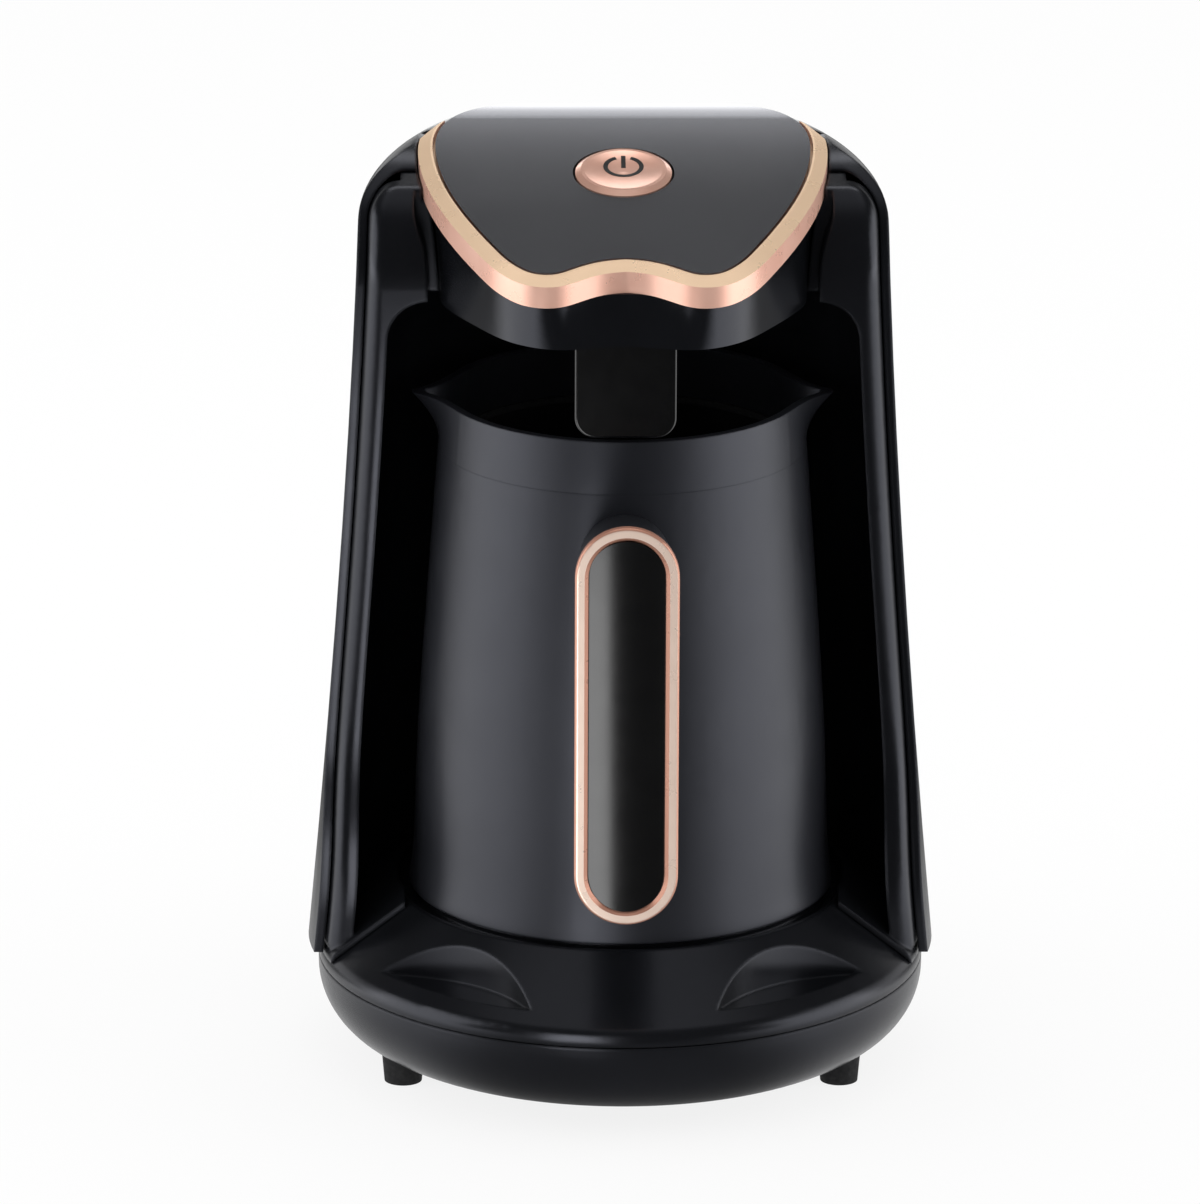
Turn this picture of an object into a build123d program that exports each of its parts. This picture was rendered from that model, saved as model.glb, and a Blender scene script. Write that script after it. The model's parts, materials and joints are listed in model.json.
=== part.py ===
"""Electric turkish coffee maker: a round base, a stand with two wings and a head, and a pot.

Millimetres, +Z up. The pot stands on the origin's axis, the front is towards -Y and the
feet rest on z = 0.
"""
from build123d import *
import math
import os

os.makedirs("parts", exist_ok=True)

# ---------------------------------------------------------------- driving dimensions
seam_gap = 0.3            # between two mouldings that meet, and under the pot
fit = 0.05                # between two pieces that sit face to face
wall = 2.4                # general thickness of the plastic mouldings

# pot
seat_z = 44.0             # top of the seat that the pot stands on
pot_foot_radius = 52.0
pot_rim_radius = 43.8
pot_foot_z = seat_z + seam_gap
pot_rim_z = 168.6
pot_wall = 2.2
liner_wall = 1.2
liner_floor_z = pot_foot_z + 17.7
liner_rim_z = pot_rim_z - 14.6
liner_round = 6.0         # rounding between the liner's floor and its side
lip_reach = 51.0
lip_tip = 1.3             # half width of a pouring lip's tip

# handle
handle_reach = 84.0       # from the pot's axis to the handle's face
handle_width = 24.8
handle_top = pot_rim_z - 9.3
handle_bottom = pot_foot_z + 16.1
handle_grip = 13.0        # depth of the grip
trim_width = 3.2
trim_depth = 2.2

# lid and head
head_z = pot_rim_z + 24.6  # underside of the head, which is the ceiling of the pot's bay
lid_tilt = 13.8           # the lid faces this many degrees forwards
lid_z = head_z + 29.0     # height of the lid's face above the pot's axis
lid_thick = 2.2
lid_back = 44.6           # lid's back edge, up the slope from the pot's axis
lid_gap = 0.7             # between the lid and the ring
roll_start = 29.0         # behind here the roof and the lid roll over to the back
roll_radius = 30.0
ring_width = 4.2          # the wavy ring outside the lid
ring_height = 6.5
ring_drop = 1.3           # how far the ring's face falls from the lid to its outer edge
ring_end = 29.5           # the ring ends here, up the slope
head_back = 22.0          # back wall of the head's tray

# stand: its plan is a half circle in front and a half ellipse behind, drawn in upwards
foot_half = 77.2          # half width at the foot
crown_half = 63.6         # half width at the crown
foot_back = 84.0          # reach behind the pot's axis at the foot
crown_back = 55.5         # the same at the crown
foot_z = 27.0             # height of the foot's plan
crown_z = lid_z + 15.8    # height at which the plan reaches its crown size
draw_in = 1.5             # exponent of the curve by which the sides draw in
cover_z = 29.4            # lower edge of the back cover
cover_wall = 2.2          # back cover's thickness
shoulder_radius = 9.5     # rounding of the roof's outer edge
wing_depth = 8.0          # the wings' front edge, ahead of the pot's axis
wing_nose = 4.0           # rounding of the wings' outer front edge
wing_toe = 20.0           # how far the wings' toes reach ahead of the pot's axis
wing_crest = 30.0         # radius by which the wings' front bends back at the top
cover_setback = 4.5       # back cover's edge, behind the wings' front

# base
seam_z = 25.5             # seam between the bowl and the deck
bowl_z = 5.5              # underside of the bowl
bowl_round = 17.5         # rounding of the bowl's lower edge
deck_band = 3.2           # upright band of the deck above the seam
deck_round = 4.0          # rounding between the band and the sloping deck
seat_rim = pot_foot_radius + 4.0   # radius of the seat's rim, where the deck begins to slope
foot_radius = 5.2
foot_spots = [(-53.5, -26), (53.5, -26), (-38, 46), (38, 46)]

# bay that the pot stands in
bay_wall_side = 7.7       # from the stand's outside to the bay
bay_foot_back = pot_foot_radius + 6.0    # bay's back wall behind the pot's axis, at the seat
bay_top_back = pot_rim_radius + 6.7      # the same at the ceiling
bay_round = 10.0          # rounding of the bay's ceiling

# button
button_radius = 11.7
button_y = 2.5            # up the slope from the pot's axis
button_gap = 0.6
button_travel = 1.2       # how far the button can go in
stem_radius = 3.0

# boil-over sensor
tongue_width = 24.4
tongue_thick = 2.6
tongue_front = -45.6      # the tongue's face, just behind the head's front wall
tongue_z = pot_rim_z + 1.5
tongue_round = 5.0
tongue_neck = 16.0        # the neck that goes up through the head's floor
neck_low_y = -42.2
neck_high_y = -38.2

# plug between the pot and the stand
plug_width = 26.0
plug_height = 11.0
plug_z = seat_z + 9.5
pin_radius = 1.5
pin_pitch = 8.0
pin_reach = 6.0

# ---------------------------------------------------------------- planes and curves
tilt = math.radians(lid_tilt)
lid_normal = Vector(0, -math.sin(tilt), math.cos(tilt))
up_slope = Vector(0, math.cos(tilt), math.sin(tilt))


def lid_level(rise):
    """Plane parallel to the lid's face, rise above it along Z."""
    return Plane(origin=(0, 0, lid_z + rise), x_dir=(1, 0, 0), z_dir=lid_normal)


def draw(z):
    """Share of the foot's extra size that is left at height z."""
    return max(0.0, (crown_z - z) / (crown_z - foot_z)) ** draw_in


def half_at(z):
    """Half width of the stand at height z."""
    return crown_half + (foot_half - crown_half) * draw(z)


def back_at(z):
    """Reach of the stand behind the pot's axis at height z."""
    return crown_back + (foot_back - crown_back) * draw(z)


def egg(half, back, plane):
    """Closed plan: a half circle in front and a half ellipse behind."""
    with BuildSketch(plane) as plan:
        with BuildLine():
            EllipticalCenterArc((0, 0), half, back, start_angle=0, arc_size=180)
            EllipticalCenterArc((0, 0), half, half, start_angle=180, arc_size=180)
        make_face()
    return plan.sketch


def under_roll(drop):
    """Everything under the lid's face lowered by drop: it tilts up, then rolls over."""
    height = lid_z - drop + roll_start * math.tan(tilt)
    with BuildPart() as under:
        with BuildSketch(Plane.YZ):
            with BuildLine():
                ramp = Line((-120, height - (120 + roll_start) * math.tan(tilt)), (roll_start, height))
                centre = ramp @ 1 + Vector(math.sin(tilt), -math.cos(tilt)) * roll_radius
                roll = CenterArc(centre, roll_radius, 90 + lid_tilt, -lid_tilt - 60)
                Polyline(roll @ 1, (120, (roll @ 1).Y - 20), (120, 0), (-120, 0), ramp @ 0)
            make_face()
        extrude(amount=110, both=True)
    return under.part


def stand_form(inset, low):
    """Outer form of the stand, drawn in by inset, from height low up to its roof."""
    levels = (foot_z - 10, 42.0, 68.0, 110.0, 150.0, 190.0, crown_z + 20)
    with BuildPart() as form:
        loft([egg(half_at(z) - inset, back_at(z) - inset, Plane.XY.offset(z)) for z in levels])
        split(bisect_by=Plane.XY.offset(low), keep=Keep.TOP)
        add(under_roll(ring_drop + inset), mode=Mode.INTERSECT)
        roof = form.faces().filter_by(lambda face: face.normal_at().Z > 0.4)
        fillet(roof.edges().filter_by(GeomType.LINE, reverse=True), shoulder_radius - inset)
    return form.part


def wing_front(setback):
    """Everything ahead of the wings' front, as a solid to cut with."""
    with BuildPart() as ahead:
        with BuildSketch(Plane.YZ):
            with BuildLine():
                toe = (-wing_toe + setback, foot_z - 10)
                knee = (-wing_toe + setback, seat_z - 4)
                shin = (-wing_depth - 4 + setback, seat_z + 30)
                waist = (-wing_depth + setback, head_z - 53)
                neck = (-wing_depth + setback, head_z + 3)
                Polyline((-120, crown_z + 20), (-120, foot_z - 10), toe, knee)
                Spline(knee, shin, waist, tangents=((0, 1), (0, 1)))
                Line(waist, neck)
                crest = CenterArc((neck[0] + wing_crest, neck[1]), wing_crest, 180, -90)
                Polyline(crest @ 1, (crest @ 1 + Vector(0, 30)), (-120, crown_z + 20))
            make_face()
        extrude(amount=110, both=True)
    return ahead.part


# ---------------------------------------------------------------- lid outline
# right half of the lid's edge, in the lid's plane, from the notch round to the back
lid_edge = ((0, -39.5), (6.0, -40.6), (14.6, -45.4), (19.3, -47.2), (23.9, -44.9), (30.5, -35.2),
            (40.9, -10.2), (45.4, 12.0), (43.6, 26.5), (35.0, 36.5), (20.0, 43.2), (0, lid_back))


with BuildLine() as lid_curve:
    Spline(*lid_edge, tangents=((1, 0), (-1, 0)), tangent_scalars=(0.6, 0.3))
lid_steps = 32


def lid_outline(plane, grow=0.0):
    """The lid's face grown by grow: two lobes in front, straight across the back."""
    curve = lid_curve.edge()
    moved = [curve @ (step / lid_steps) + (curve % (step / lid_steps)).rotate(Axis.Z, -90) * grow
             for step in range(lid_steps + 1)]
    with BuildSketch(plane) as outline:
        with BuildLine():
            Spline(*moved, tangents=((1, 0), (-1, 0)), tangent_scalars=(0.6, 0.3))
            mirror(about=Plane.YZ)
        make_face()
    return outline.sketch


def lid_block(grow, low, high):
    """The lid's outline grown by grow, as a block between two heights above the lid's face."""
    with BuildPart() as block:
        extrude(lid_outline(lid_level(low), grow), amount=high - low, dir=(0, 0, 1))
    return block.part


# ---------------------------------------------------------------- shared forms
base_half = foot_half - cover_wall - seam_gap - 0.2
base_back = foot_back - cover_wall - seam_gap - 0.2
band_z = seam_z + deck_band
frame_inset = cover_wall + seam_gap
deck_thick = 4.4


def bay_back_at(z):
    """Reach of the bay's back wall behind the pot's axis at height z."""
    share = (z - seat_z) / (head_z - seat_z)
    return bay_foot_back + (bay_top_back - bay_foot_back) * share


def bay_form(grow):
    """The space that the pot stands in, grown by grow, with a rounded ceiling."""
    levels = (foot_z - 10, seat_z, 90.0, 140.0, head_z + grow)
    with BuildPart() as bay:
        loft([egg(half_at(z) - bay_wall_side + grow, bay_back_at(z) + grow,
                  Plane.XY.offset(z)) for z in levels])
        fillet(bay.faces().sort_by(Axis.Z)[-1].edges(), bay_round + grow)
    return bay.part


def deck_cone(drop):
    """Seat and sloping deck as one turned solid, lowered by drop."""
    with BuildPart() as cone:
        with BuildSketch(Plane.XZ) as cone_edge:
            with BuildLine():
                Polyline((0, seam_z - drop), (base_half, seam_z - drop), (base_half, band_z - drop),
                         (seat_rim, seat_z - drop), (0, seat_z - drop), close=True)
            make_face()
            fillet(cone_edge.vertices().group_by(Axis.X)[-1].sort_by(Axis.Y)[-1], deck_round)
        revolve(axis=Axis.Z)
    return cone.part


def bowl_form(inset):
    """Outer form of the bowl, drawn in by inset."""
    with BuildPart() as bowl:
        extrude(egg(base_half - inset, base_back - inset, Plane.XY.offset(bowl_z + inset)),
                amount=seam_z - bowl_z - inset)
        fillet(bowl.faces().sort_by(Axis.Z)[0].edges(), bowl_round - inset)
    return bowl.part


def pot_form(inset, low, high):
    """Turned body of the pot, drawn in by inset, between two heights."""
    with BuildPart() as body:
        with BuildSketch(Plane.XZ):
            with BuildLine():
                side = Spline(*[(r - inset, z) for r, z in pot_side])
                Polyline(side @ 1, (0, pot_rim_z + 2), (0, pot_side[0][1]), side @ 0)
            make_face()
        revolve(axis=Axis.Z)
        split(bisect_by=Plane.XY.offset(low), keep=Keep.TOP)
        split(bisect_by=Plane.XY.offset(high), keep=Keep.BOTTOM)
    return body.part


# side of the pot from its flared foot to its rim
pot_flare = pot_foot_radius - pot_rim_radius
pot_height = pot_rim_z - pot_foot_z
pot_side = ((pot_foot_radius + 0.4, pot_foot_z - 2), (pot_foot_radius - 0.6, pot_foot_z + 5),
            (pot_rim_radius + 0.82 * pot_flare, pot_foot_z + 0.19 * pot_height),
            (pot_rim_radius + 0.54 * pot_flare, pot_foot_z + 0.53 * pot_height),
            (pot_rim_radius + 0.22 * pot_flare, pot_foot_z + 0.82 * pot_height),
            (pot_rim_radius, pot_rim_z + 2))


# how far the lips are drawn out, as a share, at heights from the rim down
lip_growth = ((-13.0, 0.0), (-9.3, 0.06), (-5.2, 0.36), (0.0, 1.0))


def lip_section(z, share, inset):
    """Plan of the pot's mouth at height z, with a lip drawn out by share on either side."""
    body = pot_form(inset, pot_foot_z, min(z, pot_rim_z))
    radius = body.faces().sort_by(Axis.Z)[-1].bounding_box().max.X - (0.05 if share == 0 and inset == 0 else -0.05 if share == 0 else 0)
    reach = radius + share * (lip_reach - pot_rim_radius)
    with BuildSketch(Plane.XY.offset(z)) as section:
        with BuildLine():
            front = CenterArc((0, 0), radius, -90, 64)
            Spline(front @ 1, (reach, -lip_tip), tangents=(front % 1, Vector(0.03 + 1.4 * share, 1)))
            Line((reach, -lip_tip), (reach, 0))
            mirror(about=Plane.XZ)
            mirror(about=Plane.YZ)
        make_face()
    return section.sketch


def mouth(inset, over):
    """The pot's uppermost part, drawn in by inset, up to over above its rim."""
    with BuildPart() as upper:
        loft([lip_section(pot_rim_z + rise + (over if rise == 0 else 0), share, inset)
              for rise, share in lip_growth])
    return upper.part


def stadium(y, width, height, middle):
    """Upright slot with full round ends on a plane that faces the front."""
    with BuildSketch(Plane.XZ.offset(-y)) as slot:
        with Locations((0, middle)):
            SlotOverall(height, width, rotation=90)
    return slot.sketch


# ---------------------------------------------------------------- base
half_moon_radius = 41.6
half_moon_reach = 100.8
half_moon_angle = 37.8     # from straight ahead to either side
half_moon_z = 32.4
half_moon_lip = 1.3        # width of the low lip at each half-moon's open end
half_moons = [(side * half_moon_reach * math.sin(math.radians(half_moon_angle)),
               -half_moon_reach * math.cos(math.radians(half_moon_angle))) for side in (-1, 1)]
screw_radius = 1.5
screw_head = 3.0
boss_radius = 4.2
base_screw_spots = [(-40, -36), (40, -36), (-22, 49), (22, 49)]
inlet_z = 15.5
inlet_bore = 3.6
inlet_wall = 2.2


board_z = 12.0
board_posts = [(-28, -18), (28, -18), (-28, 14), (28, 14)]
clamp_posts = [(-9, 62), (9, 62)]
clamp_z = 19.0

with BuildPart() as base_bowl:
    add(bowl_form(0))
    add(bowl_form(wall), mode=Mode.SUBTRACT)
    floor = bowl_z + wall / 2
    with BuildSketch(Plane.XY.offset(floor)):
        with Locations(*base_screw_spots):
            Circle(boss_radius)
    extrude(amount=seam_z - floor)
    with BuildSketch(Plane.XY.offset(floor)):
        with Locations(*board_posts):
            Circle(2.6)
    extrude(amount=board_z - floor)
    with BuildSketch(Plane.XY.offset(floor)):
        with Locations(*clamp_posts):
            Circle(3.2)
    extrude(amount=clamp_z - floor)
    with BuildSketch(Plane.XY.offset(clamp_z)):
        with Locations(*clamp_posts):
            Circle(1.25)
    extrude(amount=-8, mode=Mode.SUBTRACT)
    # flat pad at the back, through which the supply cord would come in
    with BuildSketch(Plane.XZ.offset(-base_back + 12)):
        with Locations((0, inlet_z)):
            Circle(inlet_bore + inlet_wall + 2.2)
    extrude(amount=-12.2)
    with BuildSketch(Plane.XZ.offset(-base_back + 16)):
        with Locations((0, inlet_z)):
            Circle(inlet_bore + inlet_wall + 0.05)
    extrude(amount=-30, mode=Mode.SUBTRACT)
    with BuildSketch(Plane.XY.offset(bowl_z)):
        with Locations(*base_screw_spots):
            Circle(screw_radius + 0.2)
    extrude(amount=seam_z, mode=Mode.SUBTRACT)
    with BuildSketch(Plane.XY.offset(bowl_z)):
        with Locations(*base_screw_spots):
            Circle(screw_head + 0.4)
    extrude(amount=wall + 2, mode=Mode.SUBTRACT)

with BuildPart() as base_feet:
    with BuildSketch(Plane.XY):
        with Locations(*foot_spots):
            Circle(foot_radius - 0.6)
    extrude(amount=bowl_z + 4, taper=-5)
    add(bowl_form(0), mode=Mode.SUBTRACT)

half_moon_end = seat_rim + (seat_z - half_moon_z) * (base_half - seat_rim) / (seat_z - band_z)
with BuildPart() as half_moon_cuts:
    with BuildSketch(Plane.XY.offset(half_moon_z)):
        with Locations(*half_moons):
            Circle(half_moon_radius)
    extrude(amount=30)
    with BuildSketch(Plane.XY.offset(half_moon_z)):
        with Locations(*half_moons):
            Circle(half_moon_radius)
        Circle(half_moon_end - half_moon_lip, mode=Mode.INTERSECT)
    extrude(amount=-0.8)

with BuildPart() as half_moon_walls:
    with BuildSketch(Plane.XY.offset(half_moon_z - wall)):
        with Locations(*half_moons):
            Circle(half_moon_radius + wall)
    extrude(amount=30)

with BuildPart() as deck_cavity:
    add(deck_cone(deck_thick))
    with BuildSketch(Plane.XY):
        Circle(base_half - wall)
    extrude(amount=2 * seat_z, mode=Mode.INTERSECT)
    add(half_moon_walls.part, mode=Mode.SUBTRACT)

with BuildPart() as base_deck:
    extrude(egg(base_half, base_back, Plane.XY.offset(seam_z)), amount=deck_band)
    fillet(base_deck.faces().sort_by(Axis.Z)[-1].edges(), deck_band - 0.3)
    add(deck_cone(0))
    add(deck_cavity.part, mode=Mode.SUBTRACT)
    with BuildSketch(Plane.XY.offset(seam_z)):
        with Locations(*base_screw_spots):
            Circle(boss_radius)
    extrude(amount=seat_z - deck_thick - seam_z + 1)
    with BuildSketch(Plane.XY.offset(seat_z)):
        Circle(seat_rim - 1.2)
        Circle(pot_foot_radius - 1.4, mode=Mode.SUBTRACT)
    extrude(amount=-2, mode=Mode.SUBTRACT)
    add(half_moon_cuts.part, mode=Mode.SUBTRACT)
    with BuildSketch(Plane.XY.offset(seam_z)):
        with Locations(*base_screw_spots):
            Circle(screw_radius + 0.05)
    extrude(amount=12, mode=Mode.SUBTRACT)
    split(bisect_by=Plane.XY.offset(seam_z + seam_gap), keep=Keep.TOP)

head_rest = bowl_z + wall + 2
with BuildPart() as base_screws:
    with BuildSketch(Plane.XY.offset(head_rest - 2)):
        with Locations(*base_screw_spots):
            Circle(screw_head)
    extrude(amount=2)
    with BuildSketch(Plane.XY.offset(head_rest)):
        with Locations(*base_screw_spots):
            Circle(screw_radius)
    extrude(amount=seam_z + 10 - head_rest)

board_thick = 1.6
with BuildPart() as power_board:
    with BuildSketch(Plane.XY.offset(board_z)):
        with Locations((0, -2)):
            Rectangle(64, 40)
    extrude(amount=board_thick)
    top = Plane.XY.offset(board_z + board_thick)
    with BuildSketch(top):
        with Locations((-18, 4)):
            Rectangle(19, 15)
    extrude(amount=15)
    with BuildSketch(top):
        with Locations((12, 8)):
            Rectangle(26, 9)
        with Locations((20, -12)):
            Rectangle(10, 16)
    extrude(amount=10)
    with BuildSketch(top):
        with Locations((-4, -12)):
            Circle(5)
    extrude(amount=13)

with BuildPart() as cord_inlet:
    with BuildSketch(Plane.XZ.offset(-base_back + 14)):
        with Locations((0, inlet_z)):
            Circle(inlet_bore + inlet_wall)
    extrude(amount=-15.5)
    with BuildSketch(Plane.XZ.offset(-base_back - 0.3)):
        with Locations((0, inlet_z)):
            Circle(inlet_bore + inlet_wall + 1.6)
    extrude(amount=-1.5)
    with BuildSketch(Plane.XZ.offset(-base_back + 20)):
        with Locations((0, inlet_z)):
            Circle(inlet_bore)
    extrude(amount=-40, mode=Mode.SUBTRACT)

with BuildPart() as cord_clamp:
    with BuildSketch(Plane.XY.offset(clamp_z)):
        with Locations((0, clamp_posts[0][1])):
            SlotOverall(26, 7)
    extrude(amount=4)
    with BuildSketch(Plane.XZ.offset(-50)):
        with Locations((0, inlet_z)):
            Circle(inlet_bore + 1.2)
    extrude(amount=-30, mode=Mode.SUBTRACT)
    with BuildSketch(Plane.XY.offset(clamp_z)):
        with Locations(*clamp_posts):
            Circle(1.4)
    extrude(amount=8, mode=Mode.SUBTRACT)

# ---------------------------------------------------------------- head
head_top_edge = ((0, -44.4), (9.3, -46.4), (18.1, -50.6), (26.0, -46.0), (34.6, -31.2),
                 (42.3, -8.0), (47.6, 24.0))
head_foot_edge = ((0, -47.0), (8.4, -48.7), (16.7, -49.6), (25.1, -45.3), (34.5, -31.5),
                  (42.6, -14.0), (43.5, 24.0))


def head_section(edge, plane, grow):
    """Section of the head: its wavy edge in front, straight across the back."""
    widest, back = edge[-1]
    moved = [(x + grow * x / widest, y - grow) for x, y in edge[:-1]]
    with BuildSketch(plane) as section:
        with BuildLine():
            Spline(*moved, (widest + grow, back + grow), tangents=((1, 0), (0, 1)))
            Line((widest + grow, back + grow), (0, back + grow))
            mirror(about=Plane.YZ)
        make_face()
    return section.sketch


def head_form(grow, low, high):
    """The head's tapering block, grown by grow, from height low to high above the lid."""
    with BuildPart() as block:
        loft([head_section(head_foot_edge, Plane.XY.offset(low), grow),
              head_section(head_top_edge, lid_level(high), grow)])
    return block.part


def across(y, circles, amount):
    """Round bars along Y from plane y, towards the back, at (x, z, radius)."""
    with BuildPart() as bars:
        with BuildSketch(Plane.XZ.offset(-y)):
            for x, z, radius in circles:
                with Locations((x, z)):
                    Circle(radius)
        extrude(amount=-amount)
    return bars.part


control_floor = -15.6       # underside of the control board, along the lid's normal
control_middle = -6.0       # its middle, up the slope
control_posts = [(-19, -20), (19, -20), (-19, 8), (19, 8)]
control_plane = Plane(origin=Vector(0, 0, lid_z) + lid_normal * control_floor,
                      x_dir=(1, 0, 0), z_dir=lid_normal)
floor_top = head_z + wall
neck_y = (neck_low_y + neck_high_y) / 2
head_screw_spots = [(-30, head_z + 9), (30, head_z + 9)]

with BuildPart() as control_pillars:
    with BuildSketch(Plane.XY.offset(floor_top - 1)):
        with Locations(*[(x, y * math.cos(tilt) - control_floor * math.sin(tilt))
                         for x, y in control_posts]):
            Circle(2.6)
    extrude(amount=30)
    split(bisect_by=control_plane, keep=Keep.BOTTOM)

with BuildPart() as head_shell:
    add(head_form(0, head_z, -ring_height))
    add(head_form(-wall, floor_top, -ring_height + 0.1), mode=Mode.SUBTRACT)
    add(control_pillars.part)
    with BuildSketch(Plane.XY.offset(head_z)):
        with Locations((0, neck_y)):
            Rectangle(tongue_neck + 2 * fit, neck_high_y - neck_low_y + 2 * fit)
    extrude(amount=wall, mode=Mode.SUBTRACT)
    add(across(head_back - 4, [(x, z, screw_radius + 0.2) for x, z in head_screw_spots], 10),
        mode=Mode.SUBTRACT)

with BuildPart() as sensor_tongue:
    with BuildSketch(Plane.XZ.offset(-tongue_front)):
        with Locations((0, (tongue_z + head_z - fit) / 2)):
            Rectangle(tongue_width, head_z - fit - tongue_z)
    extrude(amount=-tongue_thick)
    fillet(sensor_tongue.edges().filter_by(Axis.Y).group_by(Axis.Z)[0], tongue_round)
    fillet(sensor_tongue.faces().sort_by(Axis.Y)[0].edges().filter_by(
        lambda edge: edge.center().Z < head_z - 1), 0.6)
    with BuildSketch(Plane.XY.offset(head_z - fit)):
        with Locations((0, (tongue_front + neck_high_y) / 2)):
            Rectangle(tongue_neck + 4, neck_high_y - tongue_front)
    extrude(amount=-2)
    with BuildSketch(Plane.XY.offset(head_z - 1)):
        with Locations((0, neck_y)):
            Rectangle(tongue_neck, neck_high_y - neck_low_y)
    extrude(amount=wall + 1)

with BuildPart() as sensor_board:
    with BuildSketch(Plane.XY.offset(floor_top + fit)):
        with Locations((0, neck_y)):
            Rectangle(tongue_neck + 6, neck_high_y - neck_low_y + 3)
    extrude(amount=1.2)
    with BuildSketch(Plane.XY.offset(floor_top + fit + 1.2)):
        with Locations((-6, neck_y), (5, neck_y)):
            Rectangle(5, 3.6)
    extrude(amount=2)

with BuildPart() as control_board:
    with BuildSketch(control_plane):
        with Locations((0, control_middle)):
            Rectangle(44, 34)
    extrude(amount=board_thick)
    with BuildSketch(control_plane):
        with Locations(*control_posts):
            Circle(1.3)
    extrude(amount=board_thick, mode=Mode.SUBTRACT)
    with BuildSketch(control_plane.offset(board_thick)):
        with Locations((-13, -12)):
            Rectangle(9, 9)
        with Locations((-13, 2)):
            Rectangle(5, 9)
    extrude(amount=2)

with BuildPart() as board_screws:
    with BuildSketch(control_plane.offset(board_thick)):
        with Locations(*control_posts):
            Circle(2.2)
    extrude(amount=1.4)
    with BuildSketch(control_plane):
        with Locations(*control_posts):
            Circle(1.2)
    extrude(amount=board_thick)

with BuildPart() as buzzer:
    with BuildSketch(control_plane.offset(board_thick)):
        with Locations((12, -14)):
            Circle(5)
    extrude(amount=5)
    with BuildSketch(control_plane.offset(board_thick + 5)):
        with Locations((12, -14)):
            Circle(0.9)
    extrude(amount=-2, mode=Mode.SUBTRACT)

# ---------------------------------------------------------------- button
button_origin = Vector(0, 0, lid_z) + up_slope * button_y
button_plane = Plane(origin=button_origin, x_dir=(1, 0, 0), z_dir=lid_normal)
button_section = Plane(origin=button_origin, x_dir=(1, 0, 0), z_dir=up_slope * -1)
button_axis = Axis(origin=button_origin, direction=lid_normal)
cap_low = -2.4
cap_rise = 0.9
switch_low = control_floor + board_thick
switch_high = switch_low + 3.6
plunger_radius = 1.7
stem_low = switch_high + button_travel + 0.6

with BuildPart() as button_cap:
    with BuildSketch(button_section):
        with BuildLine():
            rim_in = (button_radius - 2.2, cap_rise)
            dish = TangentArc((0, cap_rise - 0.7), rim_in, tangent=(1, 0))
            Polyline(dish @ 0, (0, cap_low), (button_radius, cap_low),
                     (button_radius, cap_rise - 0.9), (button_radius - 1.3, cap_rise), dish @ 1)
        make_face()
    revolve(axis=button_axis)

with BuildPart() as button_stem:
    with BuildSketch(button_plane.offset(cap_low)):
        Circle(button_radius + 1.8)
    extrude(amount=-1.4)
    with BuildSketch(button_plane.offset(cap_low - 1.4)):
        Circle(stem_radius)
    extrude(amount=stem_low - cap_low + 1.4)

with BuildPart() as switch_plunger:
    with BuildSketch(button_plane.offset(stem_low)):
        Circle(plunger_radius)
    extrude(amount=switch_high - stem_low - 1.6)

with BuildPart() as push_switch:
    with BuildSketch(button_plane.offset(switch_low)):
        RectangleRounded(7, 7, 0.6)
    extrude(amount=switch_high - switch_low)
    with BuildSketch(button_plane.offset(switch_high)):
        Circle(plunger_radius + 0.06)
    extrude(amount=-3.0, mode=Mode.SUBTRACT)

# ---------------------------------------------------------------- ring and lid
ring_ledge = 3.0            # the ring reaches this far in under the lid
pocket_gap = 0.4

with BuildPart() as behind_ring:
    with BuildSketch(lid_level(-80)):
        with BuildLine():
            Polyline((0, ring_end), (42.5, ring_end), (62.5, ring_end - 22), (90, ring_end - 22),
                     (90, 100), (0, 100))
            mirror(about=Plane.YZ)
        make_face()
    extrude(amount=160, dir=(0, 0, 1))

with BuildPart() as trim_ring:
    add(lid_block(ring_width, -ring_height, -ring_drop))
    loft([lid_outline(lid_level(-ring_drop), ring_width), lid_outline(lid_level(0), 1.2)])
    add(lid_block(lid_gap, -lid_thick, 1), mode=Mode.SUBTRACT)
    add(lid_block(-ring_ledge, -ring_height - 1, 1), mode=Mode.SUBTRACT)
    add(behind_ring.part, mode=Mode.SUBTRACT)

with BuildPart() as lid_panel:
    add(lid_block(0, -lid_thick - 6, 1))
    add(under_roll(0), mode=Mode.INTERSECT)
    add(under_roll(lid_thick), mode=Mode.SUBTRACT)
    with BuildSketch(button_plane.offset(10)):
        Circle(button_radius + button_gap)
    extrude(amount=-20, mode=Mode.SUBTRACT)

with BuildPart() as ring_pocket:
    add(lid_block(ring_width + pocket_gap, -ring_height - seam_gap, 20))
    add(behind_ring.part.moved(Location(up_slope * (pocket_gap + 0.2))), mode=Mode.SUBTRACT)
lid_pocket = lid_block(pocket_gap, -ring_height - seam_gap, 20)
head_pocket = head_form(pocket_gap, head_z - 0.1, -ring_height)

# ---------------------------------------------------------------- stand
front_rim = 6.0             # depth of the frame's front rim behind the pot's axis
bracket_half = 54.0         # half width of the bracket that carries the head
bracket_back = 34.0
groove_back = 2.0           # the grooves beside the head reach this far behind the pot's axis
groove_round = 1.5          # rounding of their front edges
# the grooves' outer side, as half widths at heights above the head's underside
groove_side = ((47.3, -10.0), (47.4, 3.0), (48.6, 13.8), (50.6, 20.5), (50.4, 25.5), (48.5, 33.0))
apron_thick = 1.6
apron_front = 22.0
socket_half = plug_width / 2 + 1
socket_high = plug_height / 2 + 1
cover_screw_spots = [(-34, 50), (34, 50), (-30, head_z + 11.8), (30, head_z + 11.8)]

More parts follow.
